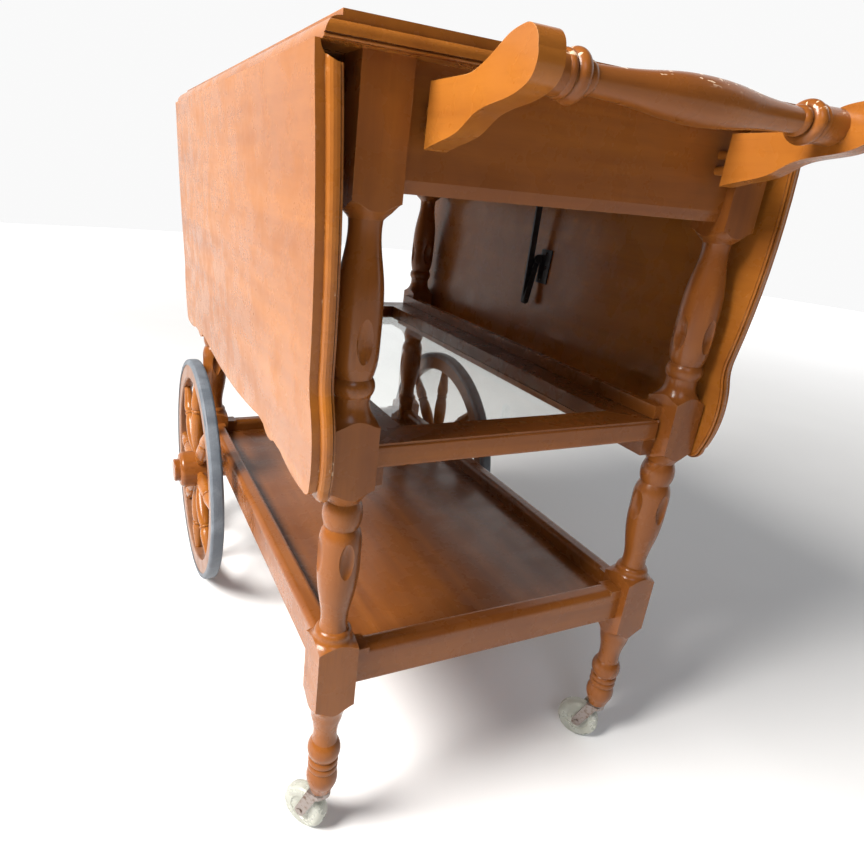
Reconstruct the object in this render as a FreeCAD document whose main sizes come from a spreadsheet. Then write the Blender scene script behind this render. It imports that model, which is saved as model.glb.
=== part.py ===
import FreeCAD, Part
import math
import os

import Sketcher

# A drop-leaf serving cart in turned hardwood.  Four turned legs carry a fixed top with two
# rule-jointed leaves, a sliding glass tray and a railed lower shelf.  The pull handle and the
# casters are at the -Y end, the two large spoked wheels at the +Y end.  +Z is up and the floor
# is z = 0.  Lengths are millimetres.

V = FreeCAD.Vector

DIMENSIONS = (
    ("table_y", 13.6, "table centre, measured from the middle of the whole cart"),
    ("table_height", 750.0, "floor to the top surface"),
    ("board", 18.5, "thickness of the top and of the leaves"),
    ("top_half_width", 221.0, "centre line to the leaf pivot line and to the joint's ledge"),
    ("top_half_length", 334.0, "centre line to the bulge of the end moulding"),
    ("ledge", 4.0, "square ledge above the rule joint's round"),
    ("joint_round", 13.0, "radius of the rule joint's round"),
    ("joint_gap", 0.35, "play between the round and the leaf's cove"),
    ("leaf_drop_angle", 92.4, "angle between the raised and the hanging leaf"),
    ("leaf_drop", 328.0, "pivot line to the lowest point of the leaf"),
    ("leg_x", 185.0, "centre line to the leg axis"),
    ("leg_y", 303.5, "centre line to the leg axis"),
    ("leg_square", 38.8, "side of the legs' square blocks"),
    ("front_leg_foot", 58.5, "height of the wooden foot above the floor"),
    ("rear_leg_foot", 156.0, "height of the rear legs' lower end"),
    ("apron_height", 86.0, "height of the aprons under the top"),
    ("apron_thickness", 18.0, "thickness of the aprons"),
    ("apron_recess", 8.7, "end aprons set back from the legs' faces"),
    ("side_apron_face", 189.0, "centre line to the side aprons' outer face"),
    ("rail_top", 237.5, "top of the lower shelf's rails"),
    ("rail_height", 38.2, "height of the lower shelf's rails"),
    ("rail_thickness", 22.0, "thickness of the lower shelf's rails"),
    ("side_rail_face", 193.8, "centre line to the side rails' outer face"),
    ("panel_top", 219.0, "upper face of the lower shelf's panel"),
    ("panel_thickness", 6.0, "thickness of the lower shelf's panel"),
    ("tray_half_width", 162.0, "centre line to the tray's outer side"),
    ("tray_half_length", 309.0, "centre line to the tray's ends"),
    ("tray_bottom", 423.0, "underside of the tray frame"),
    ("tray_depth", 22.6, "height of the tray frame"),
    ("tray_side_width", 41.0, "width of the tray frame's long members"),
    ("tray_end_width", 37.0, "width of the tray frame's short members"),
    ("glass_thickness", 3.0, "thickness of the tray's glass"),
    ("strip_thickness", 8.6, "thickness of the guide strips above the tray"),
    ("strip_height", 14.0, "height of the guide strips above the tray"),
    ("runner_thickness", 15.0, "thickness of the runners under the tray"),
    ("runner_height", 17.5, "height of the runners under the tray"),
    ("slide_length", 610.0, "length of the guide strips and the runners"),
    ("wheel_radius", 180.0, "outside of the tyre"),
    ("wheel_x", 224.0, "centre line to the middle plane of a large wheel"),
    ("wheel_y", 236.0, "table centre to the axle"),
    ("rim_outer", 171.0, "outside of the wooden rim"),
    ("rim_inner", 149.0, "inside of the wooden rim"),
    ("wheel_width", 18.6, "width of the tyre"),
    ("hub_radius", 29.0, "radius of the wooden hub"),
    ("axle_radius", 6.0, "radius of the steel axle"),
    ("running_gap", 0.05, "radial clearance of a pin that turns in a bore"),
    ("caster_radius", 25.0, "radius of a caster wheel"),
    ("caster_width", 18.0, "width of a caster wheel"),
    ("caster_trail", 17.0, "caster wheel centre behind the swivel axis"),
    ("caster_heading", 126.87, "direction of the caster's trail, from +X"),
    ("caster_pin", 3.5, "radius of the caster's swivel pin"),
    ("arm_inner", 138.0, "centre line to the handle arms' inner faces"),
    ("arm_thickness", 18.0, "thickness of the handle arms"),
    ("arm_root", 328.0, "table centre to the rear ends of the handle arms"),
    ("bar_y", 413.0, "table centre to the handle bar's axis"),
    ("bar_z", 721.0, "height of the handle bar's axis"),
    ("hinge_y", 205.0, "table centre to the middle of a leaf hinge"),
    ("hinge_pin", 1.2, "radius of the leaf hinges' pins"),
    ("hinge_plate", 1.5, "thickness of the leaf hinges' plates"),
    ("brace_x", 198.0, "centre line to the brace's frame pivot"),
    ("brace_z", 651.6, "height of the brace's frame pivot"),
    ("brace_reach", 163.0, "leaf pivot line to the brace's leaf pivot, along the leaf"),
    ("brace_offset", 7.5, "leaf pivot plane to the brace's leaf pivot, across the leaf"),
    ("brace_pin", 2.5, "radius of the brace's pins"),
    ("brace_bar", 3.0, "thickness of the brace's bars"),
    ("brace_half_width", 4.6, "half the width of the brace's bars"),
)

doc = FreeCAD.newDocument("ServingCart")
sheet = doc.addObject("Spreadsheet::Sheet", "Dimensions")
for row, (alias, value, note) in enumerate(DIMENSIONS, start=1):
    sheet.set("A%d" % row, alias)
    sheet.set("B%d" % row, str(value))
    sheet.set("C%d" % row, note)
    sheet.setAlias("B%d" % row, alias)
doc.recompute()

NODES = []


def dim(alias):
    """The number in the spreadsheet cell with this alias."""
    return float(sheet.get(alias))


TOP_UNDERSIDE = dim("table_height") - dim("board")
PIVOT_Z = dim("table_height") - dim("ledge") - dim("joint_round")
HALF_LEG = dim("leg_square") / 2.0


# ---------------------------------------------------------------- modelling helpers


def node(item, label, at=(0.0, 0.0, 0.0), turn=None):
    """Name a finished sub-part and put it in its place relative to the table centre."""
    item.Label = label
    item.Placement = FreeCAD.Placement(V(at[0], at[1] + dim("table_y"), at[2]), turn or FreeCAD.Rotation())
    NODES.append(item)
    return item


def new_body(name):
    body = doc.addObject("PartDesign::Body", name)
    body.AllowCompound = True
    return body


def datum(body, role):
    """One of the body's own origin planes or axes, found by its role."""
    return [part for part in body.Origin.OriginFeatures if part.Role == role][0]


def new_sketch(body, role, name, offset=0.0):
    sketch = body.newObject("Sketcher::SketchObject", name)
    sketch.AttachmentSupport = [(datum(body, role), "")]
    sketch.MapMode = "FlatFace"
    sketch.AttachmentOffset = FreeCAD.Placement(V(0, 0, offset), FreeCAD.Rotation())
    return sketch


def rectangle(sketch, width, depth):
    """A rectangle centred on the sketch's origin, sized by two spreadsheet expressions."""
    corners = [V(-50, -50, 0), V(50, -50, 0), V(50, 50, 0), V(-50, 50, 0)]
    for start, end in zip(corners, corners[1:] + corners[:1]):
        sketch.addGeometry(Part.LineSegment(start, end))
    for side in range(4):
        sketch.addConstraint(Sketcher.Constraint("Coincident", side, 2, (side + 1) % 4, 1))
    sketch.addConstraint(Sketcher.Constraint("Horizontal", 0))
    sketch.addConstraint(Sketcher.Constraint("Horizontal", 2))
    sketch.addConstraint(Sketcher.Constraint("Vertical", 1))
    sketch.addConstraint(Sketcher.Constraint("Vertical", 3))
    sketch.addConstraint(Sketcher.Constraint("Symmetric", 0, 1, 2, 1, -1, 1))
    across = sketch.addConstraint(Sketcher.Constraint("DistanceX", 0, 1, 0, 2, 100.0))
    along = sketch.addConstraint(Sketcher.Constraint("DistanceY", 1, 1, 1, 2, 100.0))
    sketch.renameConstraint(across, "across")
    sketch.renameConstraint(along, "along")
    sketch.setExpression("Constraints.across", width)
    sketch.setExpression("Constraints.along", depth)


def circle(sketch, centre, radius):
    sketch.addGeometry(Part.Circle(V(centre[0], centre[1], 0), V(0, 0, 1), radius))


def curves(runs):
    """Join runs of 2D points: two points make a line, three an arc, more a smooth curve."""
    found = []
    for run in runs:
        points = [V(u, v, 0) for u, v in run]
        if len(points) == 2:
            found.append(Part.LineSegment(points[0], points[1]))
        elif len(points) == 3:
            found.append(Part.Arc(points[0], points[1], points[2]))
        else:
            spline = Part.BSplineCurve()
            spline.interpolate(points)
            found.append(spline)
    return found


def trace(sketch, runs):
    """Draw a closed outline; each run starts where the run before it ends."""
    for curve in curves(runs):
        sketch.addGeometry(curve)
    first, last = runs[0][0], runs[-1][-1]
    if math.dist(first, last) > 1e-6:
        sketch.addGeometry(Part.LineSegment(V(last[0], last[1], 0), V(first[0], first[1], 0)))


def polyline(*points):
    """Straight runs through the points."""
    return [[start, end] for start, end in zip(points, points[1:])]


def pad(body, sketch, length, reverse=False, symmetric=False):
    feature = body.newObject("PartDesign::Pad", sketch.Name + "Pad")
    feature.Profile = sketch
    feature.Reversed = reverse
    feature.SideType = "Symmetric" if symmetric else "One side"
    feature.setExpression("Length", length)
    return feature


def pocket(body, sketch, length, reverse=False, symmetric=False):
    """Cut the sketch out of the body and make sure that the cut takes material away."""
    doc.recompute()
    before = body.Shape.Volume
    feature = body.newObject("PartDesign::Pocket", sketch.Name + "Pocket")
    feature.Profile = sketch
    feature.Reversed = reverse
    feature.SideType = "Symmetric" if symmetric else "One side"
    feature.setExpression("Length", length)
    doc.recompute()
    if body.Shape.Volume >= before - 1e-3:
        raise RuntimeError(feature.Name + " cuts nothing")
    return feature


def revolve(body, sketch, kind, axis):
    feature = body.newObject("PartDesign::" + kind, sketch.Name + kind)
    feature.Profile = sketch
    feature.ReferenceAxis = (sketch, [axis])
    feature.Angle = 360.0
    return feature


def pattern(body, feature, role, count):
    """Repeat a feature round one of the body's axes."""
    repeat = body.newObject("PartDesign::PolarPattern", feature.Name + "Pattern")
    repeat.Originals = [feature]
    repeat.Axis = (datum(body, role), [""])
    repeat.Angle = 360.0
    repeat.Occurrences = count
    body.Tip = repeat
    return repeat


def board(label, size_x, size_y, size_z, at):
    """A plain square-edged piece; at is the middle of its underside."""
    body = new_body(label)
    sketch = new_sketch(body, "XY_Plane", label + "_outline")
    rectangle(sketch, size_x, size_y)
    pad(body, sketch, size_z)
    return node(body, label, at)


def extrusion(label, role, runs, length, at=(0.0, 0.0, 0.0), turn=None):
    """A piece with one section along its whole length, centred on the section's plane."""
    body = new_body(label)
    sketch = new_sketch(body, role, label + "_section")
    trace(sketch, runs)
    pad(body, sketch, length, symmetric=True)
    return node(body, label, at, turn)


def turning(label, role, axis, runs, at=(0.0, 0.0, 0.0), turn=None):
    """A piece turned on a lathe; runs trace half of its section."""
    body = new_body(label)
    sketch = new_sketch(body, role, label + "_profile")
    trace(sketch, runs)
    revolve(body, sketch, "Revolution", axis)
    return node(body, label, at, turn)


# ---------------------------------------------------------------- top and leaves

# The moulding round the top's ends and the leaves' free edges, as (inset, height) from the
# bulge and the underside: a flat fillet, a hollow step, a broad round, a quirk and a bead.
MOULDING_FIELD = 6.0
MOULDING_STEP_Z = 11.6
MOULDING_ROUND = 5.8
MOULDING_ROUND_Z = 3.4
MOULDING_QUIRK = 2.0
MOULDING_BEAD_Z = 2.8
MOULDING_BEAD_BOTTOM = 0.8
MOULDING_FOOT = 3.2


def end_moulding(edge, outward):
    """Waste outside the end moulding, in the plane across the end; edge is the bulge."""
    def at(inset, height):
        return (edge - outward * inset, TOP_UNDERSIDE + height)
    top = dim("board")
    lean = MOULDING_ROUND * (1.0 - math.sqrt(0.5))
    bead = (MOULDING_BEAD_Z - MOULDING_BEAD_BOTTOM) / 2.0
    bead_nose = at(MOULDING_QUIRK - bead, MOULDING_BEAD_BOTTOM + bead)
    return [
        [at(-10, top + 5), at(MOULDING_FIELD, top + 5)],
        [at(MOULDING_FIELD, top + 5), at(MOULDING_FIELD, MOULDING_STEP_Z)],
        [at(MOULDING_FIELD, MOULDING_STEP_Z), at(lean, MOULDING_STEP_Z - lean),
         at(0, MOULDING_STEP_Z - MOULDING_ROUND)],
        [at(0, MOULDING_STEP_Z - MOULDING_ROUND), at(0, MOULDING_ROUND_Z)],
        [at(0, MOULDING_ROUND_Z), at(MOULDING_QUIRK, MOULDING_ROUND_Z)],
        [at(MOULDING_QUIRK, MOULDING_ROUND_Z), at(MOULDING_QUIRK, MOULDING_BEAD_Z)],
        [at(MOULDING_QUIRK, MOULDING_BEAD_Z), bead_nose, at(MOULDING_QUIRK, MOULDING_BEAD_BOTTOM)],
        [at(MOULDING_QUIRK, MOULDING_BEAD_BOTTOM), at(MOULDING_FOOT, MOULDING_BEAD_BOTTOM)],
        [at(MOULDING_FOOT, MOULDING_BEAD_BOTTOM), at(MOULDING_FOOT, -5)],
        [at(MOULDING_FOOT, -5), at(-10, -5)],
    ]


def tabletop():
    """Fixed top: rule-joint rounds along both sides, moulded ends, mortises for the hinges."""
    side = dim("top_half_width")
    radius = dim("joint_round")
    shoulder = dim("table_height") - dim("ledge")
    foot = side + radius
    slant = radius * math.sqrt(0.5)
    body = new_body("tabletop")
    section = new_sketch(body, "XZ_Plane", "tabletop_section")
    trace(section, [
        [(-side, dim("table_height")), (side, dim("table_height"))],
        [(side, dim("table_height")), (side, shoulder)],
        [(side, shoulder), (side + slant, PIVOT_Z + slant), (foot, PIVOT_Z)],
        [(foot, PIVOT_Z), (foot, TOP_UNDERSIDE)],
        [(foot, TOP_UNDERSIDE), (-foot, TOP_UNDERSIDE)],
        [(-foot, TOP_UNDERSIDE), (-foot, PIVOT_Z)],
        [(-foot, PIVOT_Z), (-side - slant, PIVOT_Z + slant), (-side, shoulder)],
    ])
    pad(body, section, "2 * Dimensions.top_half_length", symmetric=True)
    for outward, name in ((-1, "front"), (1, "rear")):
        waste = new_sketch(body, "YZ_Plane", name + "_moulding")
        trace(waste, end_moulding(outward * dim("top_half_length"), outward))
        pocket(body, waste, "4 * Dimensions.top_half_width", symmetric=True)
    mortises = new_sketch(body, "XY_Plane", "hinge_mortises", TOP_UNDERSIDE)
    for x in (-side, side):
        for y in (-dim("hinge_y"), dim("hinge_y")):
            inner = x - math.copysign(HINGE_MORTISE_IN, x)
            outer = x + math.copysign(HINGE_MORTISE_OUT, x)
            half = HINGE_KNUCKLES / 2.0 + 0.5
            trace(mortises, polyline((inner, y - half), (outer, y - half), (outer, y + half), (inner, y + half)))
    pocket(body, mortises, str(HINGE_MORTISE_DEPTH), reverse=True)
    return node(body, "tabletop")


def leaf_outline(inset):
    """Half of the leaf's free edge as curves, from the pivot side to the middle of the drop.

    u runs along the table from the middle of the leaf, v is the distance from the pivot line.
    """
    drop = dim("leaf_drop") - inset
    return [
        [(333.0 - inset, -40.0), (333.0 - inset, 16.0)],
        [(333.0 - inset, 16.0), (338.0 - inset, 92.0), (331.5 - inset, 215.0)],
        [(331.5 - inset, 215.0), (330.8 - inset, 229.0), (334.5 - inset, 246.0)],
        [(334.5 - inset, 246.0), (338.2 - inset, 281.0), (331.0 - inset, 316.0)],
        [(331.0 - inset, 316.0), (327.5 - inset, drop - 3.0), (315.0 - inset, drop)],
        [(315.0 - inset, drop), (277.0, drop + 0.2), (240.0 + inset * 0.5, drop - 6.0)],
        [(240.0 + inset * 0.5, drop - 6.0), (219.0 - inset * 0.3, drop - 6.6)],
        [(219.0 - inset * 0.3, drop - 6.6), (198.0, drop - 2.0), (177.0 + inset * 0.5, drop - 9.0)],
        [(177.0 + inset * 0.5, drop - 9.0), (160.0, drop - 10.6)],
        [(160.0, drop - 10.6), (83.0, drop - 2.8), (0.0, drop)],
    ]


def leaf_wire(inset, height):
    """The closed outline drawn in by inset, at a height above the underside."""
    half = [curve.toShape() for curve in curves(leaf_outline(inset))]
    mirror = [edge.mirror(V(0, 0, 0), V(1, 0, 0)) for edge in half]
    start, end = V(333.0 - inset, -40.0, 0), V(-333.0 + inset, -40.0, 0)
    wire = Part.Wire(Part.__sortEdges__(half + mirror + [Part.LineSegment(start, end).toShape()]))
    wire.translate(V(0, 0, height))
    return wire


def moulding_levels():
    """The edge moulding from the underside up, as (inset, height)."""
    levels = [(MOULDING_FOOT, 0.0), (MOULDING_FOOT, MOULDING_BEAD_BOTTOM)]
    bead = (MOULDING_BEAD_Z - MOULDING_BEAD_BOTTOM) / 2.0
    for degrees in (-90, -45, 0, 45, 90):
        angle = math.radians(degrees)
        levels.append((MOULDING_QUIRK - bead * math.cos(angle),
                       MOULDING_BEAD_BOTTOM + bead * (1.0 + math.sin(angle))))
    levels.append((MOULDING_QUIRK, MOULDING_ROUND_Z))
    for degrees in (0, 22.5, 45, 67.5, 90):
        angle = math.radians(degrees)
        levels.append((MOULDING_ROUND * (1.0 - math.cos(angle)),
                       MOULDING_STEP_Z - MOULDING_ROUND * (1.0 - math.sin(angle))))
    levels.insert(-5, (0.0, MOULDING_ROUND_Z))
    levels[-1] = (MOULDING_FIELD, MOULDING_STEP_Z)
    levels.append((MOULDING_FIELD, dim("board")))
    return levels


def leaf_board():
    """A leaf lying flat, face up, its pivot line on the local X axis and its drop along +Y."""
    solid = Part.makeLoft([leaf_wire(inset, height) for inset, height in moulding_levels()], True, True)
    solid.translate(V(0, 0, TOP_UNDERSIDE - PIVOT_Z))
    gap = dim("joint_gap")
    cove = dim("joint_round") + gap
    reach = 400.0
    upper_waste = Part.makeBox(2 * reach, 60.0 + gap, 60.0, V(-reach, -60.0, -5.0))
    lower_waste = Part.makeBox(2 * reach, 60.0 + cove, 30.0, V(-reach, -60.0, -30.0))
    round_waste = Part.makeCylinder(cove, 2 * reach, V(-reach, 0, 0), V(1, 0, 0))
    return solid.cut(upper_waste.fuse([lower_waste, round_waste])).removeSplitter()


def leaf(side):
    """A drop leaf at rest: hanging from its pivot line, tipped a little in under the top."""
    name = "leaf_left" if side < 0 else "leaf_right"
    item = doc.addObject("Part::Feature", name)
    item.Shape = leaf_board()
    raised = FreeCAD.Rotation(V(0, 0, 1), -90.0 * side)
    hang = FreeCAD.Rotation(V(0, 1, 0), side * dim("leaf_drop_angle"))
    return node(item, name, (side * dim("top_half_width"), 0.0, PIVOT_Z), hang.multiply(raised))


# ---------------------------------------------------------------- leaf hinges

HINGE_KNUCKLES = 34.0
HINGE_MIDDLE = 12.0
HINGE_KNUCKLE_RADIUS = 2.7
HINGE_KNUCKLE_GAP = 0.35
HINGE_MORTISE_IN = 4.6
HINGE_MORTISE_OUT = 4.2
HINGE_MORTISE_DEPTH = 5.0
HINGE_TOP_LEAF = 30.0
HINGE_LONG_LEAF = 52.0
HINGE_ROOT = 5.5


def knuckle(start, end, bore):
    """A hinge knuckle on the local X axis, between two stations along it."""
    tube = Part.makeCylinder(HINGE_KNUCKLE_RADIUS, end - start, V(start, 0, 0), V(1, 0, 0))
    if bore:
        tube = tube.cut(Part.makeCylinder(bore, end - start, V(start, 0, 0), V(1, 0, 0)))
    return tube


def screw_sinks(plate, centres, face_z, downward):
    """Countersunk screw heads' recesses in a plate, shown as shallow cones."""
    for x, y in centres:
        sink = Part.makeCone(2.6, 1.4, dim("hinge_plate") * 0.6, V(x, y, face_z), V(0, 0, 1 if not downward else -1))
        plate = plate.cut(sink)
    return plate


def hinge_top_plate():
    """The short plate under the top with the two outer knuckles and the pin.

    Local axes: X along the pin, +Y outwards from the table, Z up.
    """
    thickness = dim("hinge_plate")
    top = TOP_UNDERSIDE - PIVOT_Z
    half = HINGE_KNUCKLES / 2.0
    middle = HINGE_MIDDLE / 2.0 + HINGE_KNUCKLE_GAP
    plate = Part.makeBox(2 * half, HINGE_TOP_LEAF - HINGE_ROOT, thickness,
                         V(-half, -HINGE_TOP_LEAF, top - thickness))
    plate = screw_sinks(plate, ((-11, -20), (11, -20), (0, -12)), top - thickness, False)
    pieces = [Part.makeCylinder(dim("hinge_pin"), 2 * half, V(-half, 0, 0), V(1, 0, 0))]
    for start, end in ((-half, -middle), (middle, half)):
        pieces.append(knuckle(start, end, None))
        pieces.append(Part.makeBox(end - start, HINGE_ROOT + 1.0, thickness,
                                   V(start, -HINGE_ROOT - 0.5, top - thickness)))
    return plate.fuse(pieces).removeSplitter()


def hinge_leaf_plate():
    """The long plate under the leaf with the middle knuckle, drawn with the leaf raised."""
    thickness = dim("hinge_plate")
    top = TOP_UNDERSIDE - PIVOT_Z - 0.35
    half = HINGE_KNUCKLES / 2.0
    middle = HINGE_MIDDLE / 2.0
    plate = Part.makeBox(2 * half, HINGE_LONG_LEAF - HINGE_ROOT, thickness, V(-half, HINGE_ROOT, top - thickness))
    plate = screw_sinks(plate, ((-11, 24), (11, 24), (-11, 42), (11, 42)), top - thickness, False)
    bore = dim("hinge_pin") + dim("running_gap")
    root = Part.makeBox(2 * middle, HINGE_ROOT + 0.5, thickness, V(-middle, 0.0, top - thickness))
    root = root.cut(Part.makeCylinder(bore, 2 * half, V(-half, 0, 0), V(1, 0, 0)))
    return plate.fuse([root, knuckle(-middle, middle, bore)]).removeSplitter()


def leaf_hinges(side):
    """Both hinges of one leaf: a node with the fixed plates and a node with the leaf plates."""
    name = "left" if side < 0 else "right"
    raised = FreeCAD.Rotation(V(0, 0, 1), -90.0 * side)
    hang = FreeCAD.Rotation(V(0, 1, 0), side * dim("leaf_drop_angle")).multiply(raised)
    at = (side * dim("top_half_width"), 0.0, PIVOT_Z)
    for label, shape, turn in (("hinge_plates_top_" + name, hinge_top_plate(), raised),
                               ("hinge_plates_leaf_" + name, hinge_leaf_plate(), hang)):
        pair = []
        for station in (-dim("hinge_y"), dim("hinge_y")):
            copy = shape.copy()
            copy.translate(V(station, 0, 0))
            pair.append(copy)
        item = doc.addObject("Part::Feature", label)
        item.Shape = Part.makeCompound(pair)
        node(item, label, at, turn)


# ---------------------------------------------------------------- legs

# Half the diagonal of a leg's square block, with a little to spare for the lathe cuts.
BLOCK_CORNER = 28.2

# Turned stretches of a leg as (radius, height) runs, read from the top down.
UPPER_VASE = [
    [(BLOCK_CORNER, 638.5), (22.5, 635.5), (19.4, 632.0), (15.5, 628.5), (13.2, 626.0)],
    [(13.2, 626.0), (12.9, 614.0), (14.3, 602.5), (17.6, 583.0), (19.1, 560.0), (19.2, 533.0),
     (17.6, 512.0), (15.6, 505.5)],
    [(15.6, 505.5), (18.3, 498.0), (15.6, 490.5)],
    [(15.6, 490.5), (15.2, 485.5), (16.2, 479.0), (19.4, 472.5), (BLOCK_CORNER, 466.0)],
]
LOWER_VASE = [
    [(BLOCK_CORNER, 410.8), (22.5, 407.0), (19.4, 403.0), (16.4, 399.0), (14.6, 395.5)],
    [(14.6, 395.5), (17.9, 382.5), (15.2, 370.0)],
    [(15.2, 370.0), (18.6, 361.0), (19.3, 345.0), (19.2, 326.0), (16.8, 302.0), (13.4, 282.5),
     (12.6, 271.0), (13.6, 264.0)],
    [(13.6, 264.0), (16.2, 262.0), (17.6, 257.5)],
    [(17.6, 257.5), (19.4, 253.0), (23.0, 250.0), (BLOCK_CORNER, 246.5)],
]
FRONT_FOOT = [
    [(BLOCK_CORNER, 181.5), (22.5, 177.5), (19.4, 172.5), (16.8, 165.0), (15.6, 158.0)],
    [(15.6, 158.0), (13.0, 147.0), (11.9, 135.0), (12.6, 126.5)],
    [(12.6, 126.5), (16.8, 115.0), (13.6, 104.5)],
    [(13.6, 104.5), (15.4, 100.5), (13.9, 96.5)],
    [(13.9, 96.5), (15.3, 92.5), (13.7, 88.5)],
    [(13.7, 88.5), (16.1, 77.0), (13.4, 67.0)],
    [(13.4, 67.0), (12.0, 62.5), (10.7, 58.5)],
]
REAR_FOOT = [
    [(BLOCK_CORNER, 181.5), (22.5, 177.5), (19.4, 172.5), (17.2, 164.0), (11.0, 156.0)],
]

# Depth of the hole for the caster's pin in a front foot.
SOCKET_DEPTH = 22.0

# Pointed flutes on the four faces of a vase: middle height, half length of the cutter.
UPPER_FLUTE = (537.0, 27.0)
LOWER_FLUTE = (343.0, 27.0)
FLUTE_BELLY = 9.5
FLUTE_AXIS = 24.6


def leg(label, x, y, foot, foot_runs):
    """A square post, turned between its blocks and fluted on its two vases."""
    body = new_body(label)
    blank = new_sketch(body, "XY_Plane", label + "_blank", dim(foot))
    rectangle(blank, "Dimensions.leg_square", "Dimensions.leg_square")
    pad(body, blank, "Dimensions.table_height - Dimensions.board - Dimensions." + foot)
    for number, runs in enumerate((UPPER_VASE, LOWER_VASE, foot_runs)):
        waste = new_sketch(body, "XZ_Plane", "%s_turning_%d" % (label, number))
        outside = BLOCK_CORNER + 4.0
        first, last = runs[0][0], runs[-1][-1]
        below = last[1] if last[0] == BLOCK_CORNER else last[1] - 5.0
        closing = polyline(last, (last[0], below), (outside, below), (outside, first[1]), first)
        trace(waste, runs + [run for run in closing if run[0] != run[1]])
        revolve(body, waste, "Groove", "V_Axis")
    for number, (height, half) in enumerate((UPPER_FLUTE, LOWER_FLUTE)):
        cutter = new_sketch(body, "XZ_Plane", "%s_flute_%d" % (label, number))
        ends = (FLUTE_AXIS, height - half), (FLUTE_AXIS, height + half)
        trace(cutter, [[ends[0], (FLUTE_AXIS - FLUTE_BELLY, height), ends[1]]])
        flute = body.newObject("PartDesign::Groove", cutter.Name + "Groove")
        flute.Profile = cutter
        flute.ReferenceAxis = (cutter, ["Edge2"])
        flute.Angle = 360.0
        pattern(body, flute, "Z_Axis", 4)
    if y < 0:
        socket = new_sketch(body, "XY_Plane", label + "_socket", dim(foot))
        circle(socket, (0.0, 0.0), dim("caster_pin"))
        pocket(body, socket, str(SOCKET_DEPTH), reverse=True)
    return node(body, label, (x, y, 0.0))


# ---------------------------------------------------------------- aprons and shelf

END_PIECE = "2 * (Dimensions.leg_x - Dimensions.leg_square / 2)"
SIDE_PIECE = "2 * (Dimensions.leg_y - Dimensions.leg_square / 2)"
APRON_SLANT = 2.4
APRON_STRIP = 9.5
RAIL_STOP = 15.0
RAIL_ROUND = 7.0


def end_apron(label, outward):
    """Apron across an end: recessed behind the legs, its lower edge planed back."""
    face = dim("leg_y") + HALF_LEG - dim("apron_recess")
    inner = face - dim("apron_thickness")
    bottom = TOP_UNDERSIDE - dim("apron_height")
    outline = ((inner, bottom), (face - APRON_SLANT, bottom), (face, bottom + APRON_STRIP),
               (face, TOP_UNDERSIDE), (inner, TOP_UNDERSIDE), (inner, bottom))
    runs = polyline(*[(outward * y, z) for y, z in outline])
    return extrusion(label, "YZ_Plane", runs, END_PIECE)


def side_apron(label, side):
    x = side * (dim("side_apron_face") - dim("apron_thickness") / 2.0)
    at = (x, 0.0, TOP_UNDERSIDE - dim("apron_height"))
    return board(label, "Dimensions.apron_thickness", SIDE_PIECE, "Dimensions.apron_height", at)


def shelf_rail(label, length, at, turn):
    """A rail on edge round the lower shelf; the rounding of its top edges stops short of the legs."""
    body = new_body(label)
    half = dim("rail_thickness") / 2.0
    top = dim("rail_height")
    section = new_sketch(body, "YZ_Plane", label + "_rounded_section")
    slant = RAIL_ROUND * (1.0 - math.sqrt(0.5))
    trace(section, [
        [(-half, 0.0), (half, 0.0)],
        [(half, 0.0), (half, top - RAIL_ROUND)],
        [(half, top - RAIL_ROUND), (half - slant, top - slant), (half - RAIL_ROUND, top)],
        [(half - RAIL_ROUND, top), (RAIL_ROUND - half, top)],
        [(RAIL_ROUND - half, top), (slant - half, top - slant), (-half, top - RAIL_ROUND)],
    ])
    pad(body, section, "%s - %s" % (length, 2 * RAIL_STOP), symmetric=True)
    doc.recompute()
    run = body.Shape.BoundBox.XLength / 2.0
    for number, sign in enumerate((-1, 1)):
        stop = new_sketch(body, "YZ_Plane", "%s_stop_%d" % (label, number), sign * (run + RAIL_STOP / 2.0))
        trace(stop, polyline((-half, 0.0), (half, 0.0), (half, top), (-half, top)))
        pad(body, stop, str(RAIL_STOP), symmetric=True)
    return node(body, label, at, turn)


def shelf():
    """Lower shelf: four rails between the legs' lower blocks and a panel inside them."""
    z = dim("rail_top") - dim("rail_height")
    x = dim("side_rail_face") - dim("rail_thickness") / 2.0
    y = dim("leg_y") + HALF_LEG - dim("apron_recess") - dim("rail_thickness") / 2.0
    along = FreeCAD.Rotation(V(0, 0, 1), 90.0)
    shelf_rail("shelf_rail_front", END_PIECE, (0.0, -y, z), FreeCAD.Rotation())
    shelf_rail("shelf_rail_rear", END_PIECE, (0.0, y, z), FreeCAD.Rotation())
    shelf_rail("shelf_rail_left", SIDE_PIECE, (-x, 0.0, z), along)
    shelf_rail("shelf_rail_right", SIDE_PIECE, (x, 0.0, z), along)
    inner_x = dim("side_rail_face") - dim("rail_thickness")
    inner_y = y - dim("rail_thickness") / 2.0
    notch_x = dim("leg_x") - HALF_LEG
    notch_y = dim("leg_y") - HALF_LEG
    quarter = [(inner_x, notch_y), (notch_x, notch_y), (notch_x, inner_y)]
    outline = quarter + [(-px, py) for px, py in reversed(quarter)]
    outline += [(-px, -py) for px, py in quarter] + [(px, -py) for px, py in reversed(quarter)]
    body = new_body("shelf_panel")
    sketch = new_sketch(body, "XY_Plane", "shelf_panel_outline")
    trace(sketch, polyline(*outline))
    pad(body, sketch, "Dimensions.panel_thickness")
    return node(body, "shelf_panel", (0.0, 0.0, dim("panel_top") - dim("panel_thickness")))


# ---------------------------------------------------------------- sliding tray

GLASS_GROOVE_Z = 3.2
GLASS_GROOVE_DEPTH = 6.0
TRAY_NOSE = 4.0


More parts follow.
